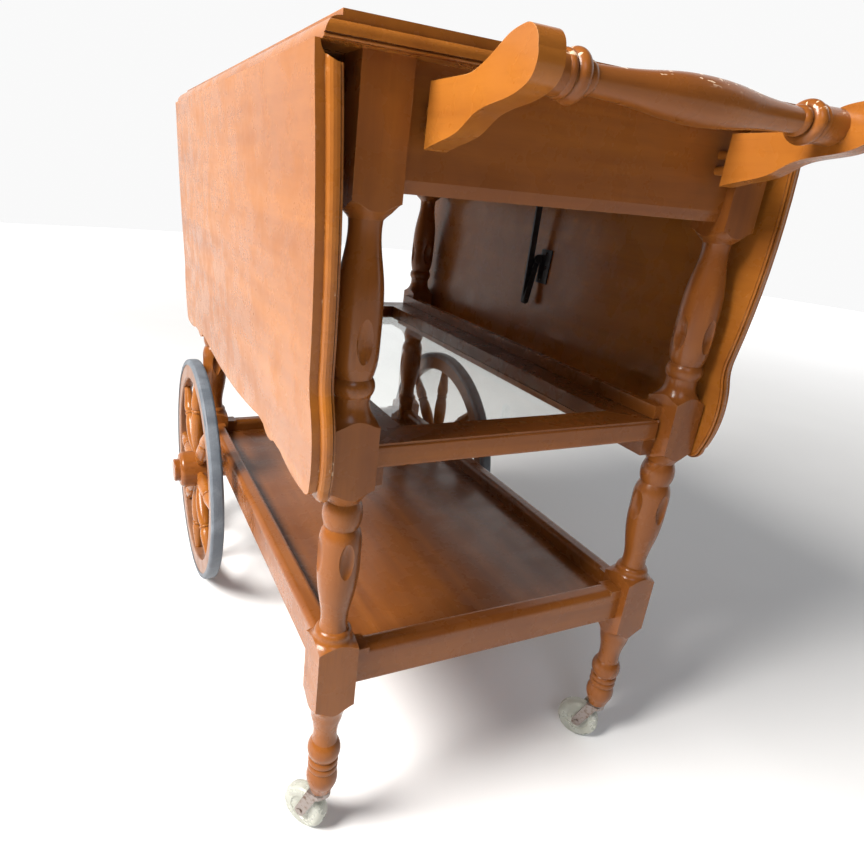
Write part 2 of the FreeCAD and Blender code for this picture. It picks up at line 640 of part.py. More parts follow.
def tray_member(label, outward, width, length, moulded):
    """A mitred member of the tray frame, drawn along its own X axis with its outer edge at -Y.

    The inner edge has a groove for the glass; a moulded outer edge has a small round nose
    between two flats.
    """
    body = new_body(label)
    top = dim("tray_depth")
    groove_top = GLASS_GROOVE_Z + dim("glass_thickness") + 0.2
    section = new_sketch(body, "YZ_Plane", label + "_section")
    if moulded:
        edge = [[(0.0, top), (-outward + 1.2, top)],
                [(-outward + 1.2, top), (-outward + 1.2, top - 1.8)],
                [(-outward + 1.2, top - 1.8), (-outward + 0.4, top - 2.6), (-outward, top - 4.6)],
                [(-outward, top - 4.6), (-outward, TRAY_NOSE)],
                [(-outward, TRAY_NOSE), (-outward + 0.9, 1.1), (-outward + 3.2, 0.0)],
                [(-outward + 3.2, 0.0), (0.0, 0.0)]]
    else:
        edge = polyline((0.0, top), (-outward, top), (-outward, 0.0), (0.0, 0.0))
    inner = -outward + width
    glass_edge = inner - GLASS_GROOVE_DEPTH
    edge[-1][-1] = (inner, 0.0)
    edge[0][0] = (inner, top)
    edge += polyline((inner, 0.0), (inner, GLASS_GROOVE_Z), (glass_edge, GLASS_GROOVE_Z),
                     (glass_edge, groove_top), (inner, groove_top), (inner, top))
    trace(section, edge)
    pad(body, section, str(2 * length), symmetric=True)
    mitres = new_sketch(body, "XY_Plane", label + "_mitres", -5.0)
    run = dim("tray_side_width") / dim("tray_end_width")
    if abs(width - dim("tray_side_width")) < 1e-6:
        run = 1.0 / run
    for sign in (-1, 1):
        corner = (sign * length, -outward)
        inside = (sign * (length - width * run), inner)
        slack = (sign * (length - (width + 10.0) * run), inner + 10.0)
        before = (sign * (length + 10.0 * run), -outward - 10.0)
        far = (sign * (length + 20.0), inner + 10.0)
        low = (sign * (length + 20.0), -outward - 10.0)
        trace(mitres, polyline(before, corner, inside, slack, far, low, before))
    pocket(body, mitres, str(top + 10.0), reverse=True)
    return body


def tray():
    """Glass-bottomed tray that slides out between the strips and the runners."""
    half_x, half_y, z = dim("tray_half_width"), dim("tray_half_length"), dim("tray_bottom")
    ends = (("tray_frame_front", 0.0), ("tray_frame_rear", 180.0))
    for label, angle in ends:
        body = tray_member(label, half_y, dim("tray_end_width"), half_x, True)
        node(body, label, (0.0, 0.0, z), FreeCAD.Rotation(V(0, 0, 1), angle))
    for label, angle in (("tray_frame_left", -90.0), ("tray_frame_right", 90.0)):
        body = tray_member(label, half_x, dim("tray_side_width"), half_y, False)
        node(body, label, (0.0, 0.0, z), FreeCAD.Rotation(V(0, 0, 1), angle))
    play = 2 * (GLASS_GROOVE_DEPTH - 0.5)
    wide = "2 * (Dimensions.tray_half_width - Dimensions.tray_side_width) + %s" % play
    deep = "2 * (Dimensions.tray_half_length - Dimensions.tray_end_width) + %s" % play
    board("tray_glass", wide, deep, "Dimensions.glass_thickness", (0.0, 0.0, z + GLASS_GROOVE_Z + 0.1))
    inside = dim("leg_x") - HALF_LEG
    for side, name in ((-1, "left"), (1, "right")):
        strip_x = side * (inside - dim("strip_thickness") / 2.0)
        strip_z = z + dim("tray_depth") + 0.4
        board("guide_strip_" + name, "Dimensions.strip_thickness", "Dimensions.slide_length",
              "Dimensions.strip_height", (strip_x, 0.0, strip_z))
        runner_x = side * (inside - dim("runner_thickness") / 2.0)
        runner_z = z - 0.4 - dim("runner_height")
        board("tray_runner_" + name, "Dimensions.runner_thickness", "Dimensions.slide_length",
              "Dimensions.runner_height", (runner_x, 0.0, runner_z))


# ---------------------------------------------------------------- pull handle

DOWEL_RADIUS = 4.0
DOWEL_HEIGHTS = (702.0, 689.0)

# Side view of a handle arm as (distance from the arm's root towards the bar, height).
ARM_OUTLINE = [
    [(0.0, 675.8), (0.0, 718.6)],
    [(0.0, 718.6), (44.0, 718.7)],
    [(44.0, 718.7), (57.5, 720.6), (67.0, 724.2), (79.0, 730.2), (88.0, 734.9), (97.0, 737.2), (103.0, 738.0)],
    [(103.0, 738.0), (112.0, 735.0), (116.6, 726.0)],
    [(116.6, 726.0), (117.2, 716.0), (111.0, 708.5)],
    [(111.0, 708.5), (98.0, 703.6), (76.0, 700.0), (60.0, 695.6), (45.0, 687.3), (28.0, 682.2), (0.0, 675.8)],
]

BAR_END = 13.4

# Half of the handle bar from its middle to the arm, as (distance from the middle, radius).
BAR_HALF = [
    [(0.0, 15.3), (8.0, 15.2), (20.0, 14.7), (36.0, 13.3), (53.0, 11.3), (70.0, 9.9), (84.0, 9.2), (94.0, 8.9)],
    [(94.0, 8.9), (97.8, 10.7), (101.6, 9.6)],
    [(101.6, 9.6), (106.8, 15.7), (112.4, 12.4)],
    [(112.4, 12.4), (115.2, 14.1), (118.0, 12.8)],
    [(118.0, 12.8), (138.0, BAR_END)],
]


def handle():
    """Two sawn arms dowelled to the front apron, with a turned bar between them."""
    root = dim("arm_root")
    face = dim("leg_y") + HALF_LEG - dim("apron_recess")
    for side, name in ((-1, "left"), (1, "right")):
        label = "handle_arm_" + name
        body = new_body(label)
        sketch = new_sketch(body, "YZ_Plane", label + "_outline")
        trace(sketch, [[(-root - u, v) for u, v in run] for run in ARM_OUTLINE])
        pad(body, sketch, "Dimensions.arm_thickness", symmetric=True)
        dowels = new_sketch(body, "XZ_Plane", label + "_dowels", root + 1.0)
        for height in DOWEL_HEIGHTS:
            circle(dowels, (0.0, height), DOWEL_RADIUS)
        pad(body, dowels, str(root + 1.0 - face), reverse=True)
        node(body, label, (side * (dim("arm_inner") + dim("arm_thickness") / 2.0), 0.0, 0.0))
    left_half = [[(-x, r) for x, r in reversed(run)] for run in reversed(BAR_HALF)]
    middle = left_half[-1][:-1] + BAR_HALF[0]
    end = dim("arm_inner")
    outline = left_half[:-1] + [middle] + BAR_HALF[1:]
    outline += polyline((end, BAR_END), (end, 0.0), (-end, 0.0), (-end, BAR_END))
    turning("handle_bar", "XZ_Plane", "H_Axis", outline, (0.0, -dim("bar_y"), dim("bar_z")))


# ---------------------------------------------------------------- large wheels and axle

HUB_INNER_END = -20.0
HUB_OUTER_END = 30.5
CAP_END = 39.0
CAP_RADIUS = 18.2
AXLE_BLOCK = 34.0
SPOKE_COUNT = 8
SPOKE_TENON = 7.0

# A spoke from the hub outwards, as (radius, distance from the wheel's centre).
SPOKE_PROFILE = [
    [(6.0, 22.0), (6.0, 33.0)],
    [(6.0, 33.0), (8.6, 44.0), (10.6, 62.0), (10.4, 82.0), (9.0, 94.0), (7.8, 98.0)],
    [(7.8, 98.0), (9.6, 100.5), (7.8, 103.0)],
    [(7.8, 103.0), (9.4, 108.0), (8.8, 122.0), (6.4, 142.0), (5.5, 149.0), (5.5, 156.0)],
]


def large_wheel(side):
    """A spoked wooden wheel with a rubber tyre, drawn round the local X axis; +X is outside."""
    name = "left" if side < 0 else "right"
    at = (side * dim("wheel_x"), dim("wheel_y"), dim("wheel_radius"))
    turn = FreeCAD.Rotation(V(0, 0, 1), 180.0 if side < 0 else 0.0)
    half = dim("wheel_width") / 2.0
    bore = dim("axle_radius") + dim("running_gap")
    hub = dim("hub_radius")
    turning("wheel_%s_hub" % name, "XZ_Plane", "H_Axis", [
        [(HUB_INNER_END, bore), (HUB_INNER_END, 17.0)],
        [(HUB_INNER_END, 17.0), (HUB_INNER_END + 2.0, 19.0)],
        [(HUB_INNER_END + 2.0, 19.0), (-14.5, 19.6), (-13.0, 23.0)],
        [(-13.0, 23.0), (-11.6, hub - 0.6), (-8.5, hub)],
        [(-8.5, hub), (24.0, hub)],
        [(24.0, hub), (28.4, hub - 2.2), (HUB_OUTER_END, hub - 7.0)],
        [(HUB_OUTER_END, hub - 7.0), (HUB_OUTER_END, bore)],
        [(HUB_OUTER_END, bore), (HUB_INNER_END, bore)],
    ], at, turn)
    turning("wheel_%s_cap" % name, "XZ_Plane", "H_Axis", [
        [(HUB_OUTER_END, 0.0), (HUB_OUTER_END, CAP_RADIUS)],
        [(HUB_OUTER_END, CAP_RADIUS), (CAP_END - 2.2, CAP_RADIUS)],
        [(CAP_END - 2.2, CAP_RADIUS), (CAP_END - 0.6, CAP_RADIUS - 0.7), (CAP_END - 0.2, CAP_RADIUS - 2.6)],
        [(CAP_END - 0.2, CAP_RADIUS - 2.6), (CAP_END, 8.0)],
        [(CAP_END, 8.0), (CAP_END, 0.0)],
        [(CAP_END, 0.0), (HUB_OUTER_END, 0.0)],
    ], at, turn)
    spokes = new_body("wheel_%s_spokes" % name)
    profile = new_sketch(spokes, "XZ_Plane", "spoke_profile_" + name)
    trace(profile, SPOKE_PROFILE + polyline((5.5, 156.0), (0.0, 156.0), (0.0, 22.0), (6.0, 22.0)))
    spoke = revolve(spokes, profile, "Revolution", "V_Axis")
    pattern(spokes, spoke, "X_Axis", SPOKE_COUNT)
    node(spokes, "wheel_%s_spokes" % name, at, turn)
    inner, outer = dim("rim_inner"), dim("rim_outer")
    turning("wheel_%s_rim" % name, "XZ_Plane", "H_Axis", [
        [(3.5 - half, inner), (half - 3.5, inner)],
        [(half - 3.5, inner), (half - 1.8, inner + 0.7), (half - 1.0, inner + 2.5)],
        [(half - 1.0, inner + 2.5), (half - 1.0, outer)],
        [(half - 1.0, outer), (1.0 - half, outer)],
        [(1.0 - half, outer), (1.0 - half, inner + 2.5)],
        [(1.0 - half, inner + 2.5), (1.8 - half, inner + 0.7), (3.5 - half, inner)],
    ], at, turn)
    tread = dim("wheel_radius")
    turning("wheel_%s_tyre" % name, "XZ_Plane", "H_Axis", [
        [(-half, outer), (half, outer)],
        [(half, outer), (half, tread - 4.5)],
        [(half, tread - 4.5), (half - 1.4, tread - 1.3), (half - 4.6, tread - 0.2)],
        [(half - 4.6, tread - 0.2), (0.0, tread), (4.6 - half, tread - 0.2)],
        [(4.6 - half, tread - 0.2), (1.4 - half, tread - 1.3), (-half, tread - 4.5)],
        [(-half, tread - 4.5), (-half, outer)],
    ], at, turn)


def axle():
    """Steel axle through two wooden blocks under the side rails, with a washer by each hub."""
    radius = dim("axle_radius")
    end = dim("wheel_x") + HUB_OUTER_END - 1.0
    washer_in = dim("wheel_x") + HUB_INNER_END - 3.0
    washer_out = washer_in + 2.5
    turning("axle", "XZ_Plane", "H_Axis", polyline(
        (-end, 0.0), (-end, radius), (-washer_out, radius), (-washer_out, 12.0), (-washer_in, 12.0),
        (-washer_in, radius), (washer_in, radius), (washer_in, 12.0), (washer_out, 12.0),
        (washer_out, radius), (end, radius), (end, 0.0), (-end, 0.0),
    ), (0.0, dim("wheel_y"), dim("wheel_radius")))
    top = dim("rail_top") - dim("rail_height") - dim("wheel_radius")
    for side, name in ((-1, "left"), (1, "right")):
        label = "axle_block_" + name
        body = new_body(label)
        sketch = new_sketch(body, "YZ_Plane", label + "_outline")
        half = AXLE_BLOCK / 2.0
        trace(sketch, [[(half, top), (-half, top)],
                       [(-half, top), (-half, 0.0)],
                       [(-half, 0.0), (0.0, -half), (half, 0.0)],
                       [(half, 0.0), (half, top)]])
        circle(sketch, (0.0, 0.0), radius)
        pad(body, sketch, "Dimensions.rail_thickness", symmetric=True)
        x = side * (dim("side_rail_face") - dim("rail_thickness") / 2.0)
        node(body, label, (x, dim("wheel_y"), dim("wheel_radius")))


# ---------------------------------------------------------------- casters

CROWN_BOTTOM = 52.6
CROWN_TOP = 57.2
CROWN_RADIUS = 10.5
FORK_PLATE = 2.2
FORK_GAP = 0.6
CASTER_AXLE = 3.0


def caster_stem(name, x, y):
    """Swivel pin driven up into the foot, with a ferrule above the fork and a head below it."""
    foot = dim("front_leg_foot")
    pin = dim("caster_pin")
    turning("caster_stem_" + name, "XZ_Plane", "V_Axis", polyline(
        (0.0, foot + SOCKET_DEPTH), (pin, foot + SOCKET_DEPTH), (pin, foot), (10.7, foot),
        (10.7, CROWN_TOP + 0.4), (pin, CROWN_TOP + 0.4), (pin, CROWN_BOTTOM - 0.4),
        (5.6, CROWN_BOTTOM - 0.4), (5.0, CROWN_BOTTOM - 1.8), (0.0, CROWN_BOTTOM - 1.8),
        (0.0, foot + SOCKET_DEPTH),
    ), (x, y, 0.0))


def caster_fork(name, x, y, turn):
    """Fork under the foot: a round crown, two plates tapering to the axle and the axle pin."""
    trail = dim("caster_trail")
    inner = dim("caster_width") / 2.0 + FORK_GAP
    outer = inner + FORK_PLATE
    centre = dim("caster_radius")
    body = new_body("caster_fork_" + name)
    crown = new_sketch(body, "XY_Plane", "fork_crown_" + name, CROWN_BOTTOM)
    reach = math.sqrt(max(0.0, CROWN_RADIUS ** 2 - 7.0 ** 2))
    trace(crown, [
        [(-reach, 7.0), (-CROWN_RADIUS, 0.0), (-reach, -7.0)],
        [(-reach, -7.0), (-4.0, -outer)],
        [(-4.0, -outer), (10.0, -outer)],
        [(10.0, -outer), (10.0, outer)],
        [(10.0, outer), (-4.0, outer)],
        [(-4.0, outer), (-reach, 7.0)],
    ])
    circle(crown, (0.0, 0.0), dim("caster_pin") + dim("running_gap"))
    pad(body, crown, str(CROWN_TOP - CROWN_BOTTOM))
    for sign in (-1, 1):
        plate = new_sketch(body, "XZ_Plane", "fork_plate_%s_%s" % (name, "near" if sign < 0 else "far"),
                           -sign * (inner + outer) / 2.0)
        trace(plate, [
            [(-4.0, CROWN_TOP), (10.0, CROWN_TOP)],
            [(10.0, CROWN_TOP), (trail + 5.2, centre + 3.0)],
            [(trail + 5.2, centre + 3.0), (trail + 1.5, centre - 5.8), (trail - 4.6, centre - 3.9)],
            [(trail - 4.6, centre - 3.9), (-4.0, CROWN_TOP)],
        ])
        pad(body, plate, str(FORK_PLATE), symmetric=True)
    pin = new_sketch(body, "XZ_Plane", "fork_axle_" + name)
    circle(pin, (trail, centre), CASTER_AXLE)
    pad(body, pin, str(2 * outer + 1.6), symmetric=True)
    node(body, "caster_fork_" + name, (x, y, 0.0), turn)


def caster_wheel(name, x, y, turn):
    """Moulded wheel with stepped rings on both faces, turned round the local Y axis."""
    radius = dim("caster_radius")
    half = dim("caster_width") / 2.0
    bore = CASTER_AXLE + dim("running_gap")
    face = [(bore, half), (6.5, half), (7.3, half - 2.2), (13.5, half - 2.2), (14.3, half - 1.0),
            (19.0, half - 1.0)]
    outline = polyline(*face)
    outline += [
        [(19.0, half - 1.0), (23.4, half - 2.6), (radius - 0.2, half - 6.2)],
        [(radius - 0.2, half - 6.2), (radius, 0.0), (radius - 0.2, 6.2 - half)],
        [(radius - 0.2, 6.2 - half), (23.4, 2.6 - half), (19.0, 1.0 - half)],
    ]
    outline += polyline(*[(r, -w) for r, w in reversed(face)], (bore, half))
    heading = turn.multVec(V(dim("caster_trail"), 0, 0))
    at = (x + heading.x, y + heading.y, radius)
    turning("caster_wheel_" + name, "XY_Plane", "V_Axis", outline, at, turn)


def caster(side):
    name = "left" if side < 0 else "right"
    x, y = side * dim("leg_x"), -dim("leg_y")
    turn = FreeCAD.Rotation(V(0, 0, 1), dim("caster_heading"))
    caster_stem(name, x, y)
    caster_fork(name, x, y, turn)
    caster_wheel(name, x, y, turn)


# ---------------------------------------------------------------- leaf braces

LAYER_GAP = 0.4
EAR_THICKNESS = 3.0


def brace_geometry():
    """Where the brace's pivots are, and the two link lengths that fit both leaf positions.

    Straight links span the pivots with the leaf raised; with the leaf down the upper link
    hangs straight down from the frame pivot.
    """
    angle = math.radians(dim("leaf_drop_angle"))
    pin_x, reach, offset = dim("top_half_width"), dim("brace_reach"), dim("brace_offset")
    raised = (pin_x + reach, PIVOT_Z - offset)
    rest = (pin_x + reach * math.cos(angle) - offset * math.sin(angle),
            PIVOT_Z - reach * math.sin(angle) - offset * math.cos(angle))
    total = math.hypot(raised[0] - dim("brace_x"), raised[1] - dim("brace_z"))
    side_step = rest[0] - dim("brace_x")
    drop = dim("brace_z") - rest[1]
    spare = total - drop
    upper = drop + (spare ** 2 - side_step ** 2) / (2.0 * spare)
    lean = math.degrees(math.atan2(side_step, upper - drop))
    return rest, upper, total - upper, lean


def link(label, length, layer, at, turn):
    """A flat brace link from its pivot bore down to its knee end, with the knee rivet's head."""
    body = new_body(label)
    half = dim("brace_half_width")
    sketch = new_sketch(body, "XZ_Plane", label + "_outline")
    trace(sketch, [[(-half, 0.0), (0.0, half), (half, 0.0)],
                   [(half, 0.0), (half, -length)],
                   [(half, -length), (0.0, -length - half), (-half, -length)],
                   [(-half, -length), (-half, 0.0)]])
    circle(sketch, (0.0, 0.0), dim("brace_pin") + dim("running_gap"))
    pad(body, sketch, "Dimensions.brace_bar", symmetric=True)
    outside = math.copysign(dim("brace_bar") / 2.0 + 0.5, layer)
    rivet = new_sketch(body, "XZ_Plane", label + "_rivet", -outside)
    circle(rivet, (0.0, -length), 3.4)
    pad(body, rivet, "1.2", symmetric=True)
    node(body, label, (at[0], layer, at[1]), turn)


def brace(side):
    """Folding brace of one leaf: frame plate, two links and leaf plate, in layers along Y."""
    name = "left" if side < 0 else "right"
    rest, upper, lower, lean = brace_geometry()
    bar = dim("brace_bar")
    pin = dim("brace_pin")
    upper_layer = LAYER_GAP / 2.0 + bar / 2.0
    lower_layer = -upper_layer
    ear_in = LAYER_GAP / 2.0 + bar + LAYER_GAP
    frame_x, frame_z = dim("brace_x"), dim("brace_z")
    wall = dim("side_apron_face")

    back = Part.makeBox(2.0, 34.0, 46.0, V(wall, ear_in - 17.0, frame_z - 5.0))
    ear = Part.makeBox(frame_x - wall, EAR_THICKNESS, 10.0, V(wall, ear_in, frame_z - 5.0))
    boss = Part.makeCylinder(5.0, EAR_THICKNESS, V(frame_x, ear_in, frame_z), V(0, 1, 0))
    shaft_end = -LAYER_GAP / 2.0
    shaft = Part.makeCylinder(pin, ear_in + 1.0 - shaft_end, V(frame_x, shaft_end, frame_z), V(0, 1, 0))
    head = Part.makeCylinder(4.2, 1.4, V(frame_x, shaft_end - 1.4, frame_z), V(0, 1, 0))
    screws = [Part.makeSphere(2.6, V(wall + 1.2, ear_in + dy, frame_z + dz))
              for dy, dz in ((-11.0, 18.0), (11.0, 18.0), (0.0, 34.0))]
    plate = back.fuse([ear, boss, shaft, head] + screws)
    waste = Part.makeBox(20.0, 60.0, 80.0, V(wall - 20.0, -30.0, frame_z - 20.0))
    item = doc.addObject("Part::Feature", "brace_frame_plate_" + name)
    item.Shape = mirrored(plate.cut(waste).removeSplitter(), side)
    node(item, "brace_frame_plate_" + name)

    down = FreeCAD.Rotation()
    link("brace_upper_link_" + name, upper, upper_layer, (side * frame_x, frame_z), down)
    swing = FreeCAD.Rotation(V(0, 1, 0), side * lean)
    link("brace_lower_link_" + name, lower, lower_layer, (side * rest[0], rest[1]), swing)

    # The leaf plate is drawn with the leaf raised and then swung down with it.
    reach, offset = dim("brace_reach"), dim("brace_offset")
    face = TOP_UNDERSIDE - PIVOT_Z - 0.05
    base = Part.makeBox(46.0, 22.0, 2.0, V(reach - 14.0, -ear_in - 22.0, face - 2.0))
    ear = Part.makeBox(12.0, EAR_THICKNESS, offset + face, V(reach - 6.0, -ear_in - EAR_THICKNESS, -offset))
    boss = Part.makeCylinder(6.0, EAR_THICKNESS, V(reach, -ear_in - EAR_THICKNESS, -offset), V(0, 1, 0))
    shaft = Part.makeCylinder(pin, ear_in + 1.0 - LAYER_GAP / 2.0, V(reach, -ear_in - 1.0, -offset), V(0, 1, 0))
    dots = [Part.makeSphere(2.6, V(reach + dx, -ear_in + dy, face - 1.4))
            for dx, dy in ((-8.0, -12.0), (10.0, -15.0), (26.0, -6.0))]
    ceiling = Part.makeBox(100.0, 60.0, 10.0, V(reach - 50.0, -40.0, face))
    shape = base.fuse([ear, boss, shaft] + dots).cut(ceiling).removeSplitter()
    item = doc.addObject("Part::Feature", "brace_leaf_plate_" + name)
    item.Shape = mirrored(shape, side)
    hang = FreeCAD.Rotation(V(0, 1, 0), side * dim("leaf_drop_angle"))
    node(item, "brace_leaf_plate_" + name, (side * dim("top_half_width"), 0.0, PIVOT_Z), hang)


def mirrored(shape, side):
    """The shape for the right-hand side, or its mirror image for the left."""
    return shape if side > 0 else shape.mirror(V(0, 0, 0), V(1, 0, 0))


# ---------------------------------------------------------------- assembly

tabletop()
for side in (-1, 1):
    leaf(side)
    leaf_hinges(side)
    brace(side)
    large_wheel(side)
    caster(side)
for name, x, y, foot, runs in (
        ("leg_front_left", -1, -1, "front_leg_foot", FRONT_FOOT),
        ("leg_front_right", 1, -1, "front_leg_foot", FRONT_FOOT),
        ("leg_rear_left", -1, 1, "rear_leg_foot", REAR_FOOT),
        ("leg_rear_right", 1, 1, "rear_leg_foot", REAR_FOOT)):
    leg(name, x * dim("leg_x"), y * dim("leg_y"), foot, runs)
end_apron("apron_front", -1)
end_apron("apron_rear", 1)
side_apron("apron_left", -1)
side_apron("apron_right", 1)
shelf()
tray()
handle()
axle()
doc.recompute()

for item in doc.Objects:
    if "Invalid" in item.State or "Error" in item.State:
        raise RuntimeError("%s failed: %s" % (item.Label, item.State))
os.makedirs("parts", exist_ok=True)
for item in NODES:
    if item.Shape.isNull() or not item.Shape.isValid():
        raise RuntimeError(item.Label + " has no valid shape")
for item in NODES:
    item.Shape.exportStep("parts/%s.step" % item.Label)
print("%d parts written" % len(NODES))
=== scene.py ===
import math

import bpy
from mathutils import Matrix, Vector

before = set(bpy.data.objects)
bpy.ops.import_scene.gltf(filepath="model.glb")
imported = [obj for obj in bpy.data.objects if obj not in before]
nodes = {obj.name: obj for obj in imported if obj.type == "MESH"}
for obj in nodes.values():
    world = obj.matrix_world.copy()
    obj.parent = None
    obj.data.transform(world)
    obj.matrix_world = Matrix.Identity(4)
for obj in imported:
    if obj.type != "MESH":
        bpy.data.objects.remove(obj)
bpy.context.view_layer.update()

# Middle of the table along Y: the pull handle moves the middle of the whole cart off it.
TABLE_Y = 0.0136


# ------------------------------------------------------------------ material graph helpers


class Graph:
    """A material's node tree with short ways to add and join nodes."""

    def __init__(self, name):
        self.material = bpy.data.materials.new(name)
        self.material.use_nodes = True
        self.tree = self.material.node_tree
        self.tree.nodes.clear()
        self.coords = self.add("ShaderNodeTexCoord").outputs["Object"]

    def add(self, kind, **inputs):
        """A node; keyword names are input sockets, with spaces written as underscores."""
        made = self.tree.nodes.new(kind)
        for key, value in inputs.items():
            self.put(made.inputs[key.replace("_", " ")], value)
        return made

    def put(self, socket, value):
        if isinstance(value, bpy.types.NodeSocket):
            self.tree.links.new(value, socket)
        else:
            socket.default_value = value

    def mapped(self, scale, move=(0.0, 0.0, 0.0), turn=(0.0, 0.0, 0.0)):
        """The object coordinates, scaled and moved."""
        made = self.add("ShaderNodeMapping", Vector=self.coords, Location=move, Rotation=turn, Scale=scale)
        return made.outputs["Vector"]

    def noise(self, vector, scale, detail=3.0, roughness=0.5, distortion=0.0):
        made = self.add("ShaderNodeTexNoise", Vector=vector, Scale=scale, Detail=detail,
                        Roughness=roughness, Distortion=distortion)
        return made.outputs["Fac"]

    def ramp(self, value, low, high, out_low=0.0, out_high=1.0):
        """A smooth step from out_low to out_high as value goes from low to high."""
        made = self.add("ShaderNodeMapRange", Value=value, From_Min=low, From_Max=high,
                        To_Min=out_low, To_Max=out_high)
        made.interpolation_type = "SMOOTHSTEP"
        return made.outputs["Result"]

    def math(self, operation, first, second=0.5):
        made = self.tree.nodes.new("ShaderNodeMath")
        made.operation = operation
        self.put(made.inputs[0], first)
        self.put(made.inputs[1], second)
        return made.outputs["Value"]

    def mix(self, factor, first, second, blend="MIX"):
        made = self.tree.nodes.new("ShaderNodeMix")
        made.data_type = "RGBA"
        made.blend_type = blend
        self.put(made.inputs["Factor"], factor)
        self.put(made.inputs["A"], first)
        self.put(made.inputs["B"], second)
        return made.outputs["Result"]

    def edge_wear(self, radius, low, high):
        """High on convex and concave edges alike: where a rounded normal leaves the true one."""
        soft = self.tree.nodes.new("ShaderNodeBevel")
        soft.samples = 4
        soft.inputs["Radius"].default_value = radius
        true = self.add("ShaderNodeNewGeometry").outputs["Normal"]
        dot = self.tree.nodes.new("ShaderNodeVectorMath")
        dot.operation = "DOT_PRODUCT"
        self.put(dot.inputs[0], soft.outputs["Normal"])
        self.put(dot.inputs[1], true)
        return self.ramp(dot.outputs["Value"], high, low)

    def crevice(self, distance):
        """1 in the open, towards 0 in hollows no wider than the distance."""
        made = self.tree.nodes.new("ShaderNodeAmbientOcclusion")
        made.samples = 6
        made.only_local = True
        made.inputs["Distance"].default_value = distance
        return made.outputs["AO"]

    def bump(self, height, strength, distance):
        made = self.add("ShaderNodeBump", Height=height, Strength=strength, Distance=distance)
        return made.outputs["Normal"]

    def finish(self, shader):
        out = self.tree.nodes.new("ShaderNodeOutputMaterial")
        self.tree.links.new(shader.outputs[0], out.inputs["Surface"])
        return self.material


def rgb(red, green, blue):
    return (red, green, blue, 1.0)


# ------------------------------------------------------------------ materials

# Grain squeeze and noise scales of the wood, per metre.
GRAIN_ALONG = 0.055
FIGURE_SCALE = 34.0
FIBRE_SCALE = 420.0
FLECK_SCALE = 700.0
CLOUD_SCALE = 5.5
CURL_SCALE = 17.0
RUBBED_SCALE = 42.0
SHEEN_SCALE = 26.0
PORE_SCALE = 90.0

# Reach of the painted shade in hollows, then width of the rubbed edges, in metres.
HOLLOW_REACH = 0.010
EDGE_REACH = 0.0014
EDGE_PALE = rgb(0.46, 0.24, 0.10)
VARNISH_SPECULAR = 0.22
VARNISH_COAT = 0.16
VARNISH_COAT_ROUGHNESS = 0.14
WOOD_RELIEF = 0.0006

GOLDEN = dict(light=rgb(0.33, 0.112, 0.016), dark=rgb(0.245, 0.076, 0.011), deep=rgb(0.08, 0.021, 0.006))
AMBER = dict(light=rgb(0.26, 0.083, 0.014), dark=rgb(0.17, 0.050, 0.010), deep=rgb(0.05, 0.014, 0.006))
BROWN = dict(light=rgb(0.20, 0.064, 0.013), dark=rgb(0.13, 0.039, 0.009), deep=rgb(0.04, 0.012, 0.005))


def varnished_wood(name, axis, tone, seed, wear=0.55, gloss=0.26, scuffs=None):
    """Stained maple under gloss varnish; axis is the direction of the grain.

    Broad soft figure, fine fibres and short flecks follow the grain.  Painted shade darkens the
    hollows towards the deep tone, and the varnish is rubbed pale on the edges.
    """
    g = Graph(name)
    squeeze = [1.0, 1.0, 1.0]
    squeeze["XYZ".index(axis)] = GRAIN_ALONG
    move = (seed * 1.37, seed * 2.11, seed * 0.73)
    along = g.mapped(squeeze, move)
    free = g.mapped((1.0, 1.0, 1.0), move)
    figure = g.noise(along, FIGURE_SCALE, 4.0, 0.55, 0.6)
    fibre = g.noise(along, FIBRE_SCALE, 3.0, 0.6, 0.2)
    fleck = g.ramp(g.noise(along, FLECK_SCALE, 1.0, 0.4), 0.68, 0.78)
    cloud = g.noise(free, CLOUD_SCALE, 2.0, 0.5)
    curl = g.noise(g.mapped((1.0, 1.0, 1.0), (move[2], move[0], move[1])), CURL_SCALE, 2.0, 0.6, 1.2)
    tint = g.mix(g.ramp(figure, 0.30, 0.72), tone["light"], tone["dark"])
    tint = g.mix(g.math("MULTIPLY", g.ramp(fibre, 0.42, 0.75), 0.35), tint, tone["dark"])
    tint = g.mix(g.math("MULTIPLY", g.ramp(cloud, 0.42, 0.68), 0.45), tint, tone["dark"])
    tint = g.mix(g.math("MULTIPLY", g.ramp(curl, 0.45, 0.75), 0.22), tint, tone["light"])
    tint = g.mix(g.math("MULTIPLY", fleck, 0.14), tint, tone["deep"])
    # Painted shade: ambient occlusion darkens the hollows towards the deep tone.
    hollow_shade = g.ramp(g.crevice(HOLLOW_REACH), 0.35, 0.92, 0.75, 0.0)
    tint = g.mix(hollow_shade, tint, tone["deep"])
    rubbed = g.noise(free, RUBBED_SCALE, 3.0, 0.65)
    edge = g.math("MULTIPLY", g.edge_wear(EDGE_REACH, 0.80, 0.97), g.ramp(rubbed, 0.46, 0.70))
    edge = g.math("MULTIPLY", edge, wear)
    tint = g.mix(edge, tint, EDGE_PALE)
    if scuffs:
        tint = scuffs(g, tint)
    roughness = g.ramp(g.noise(free, SHEEN_SCALE, 4.0, 0.6), 0.3, 0.75, gloss - 0.06, gloss + 0.14)
    fibres = g.math("MULTIPLY", fibre, 0.6)
    relief = g.math("ADD", fibres, g.math("MULTIPLY", g.noise(free, PORE_SCALE, 2.0), 0.5))
    shader = g.add("ShaderNodeBsdfPrincipled", Base_Color=tint, Roughness=roughness,
                   Normal=g.bump(relief, 0.16, WOOD_RELIEF))
    shader.inputs["Specular IOR Level"].default_value = VARNISH_SPECULAR
    shader.inputs["Coat Weight"].default_value = VARNISH_COAT
    shader.inputs["Coat Roughness"].default_value = VARNISH_COAT_ROUGHNESS
    return g.finish(shader)
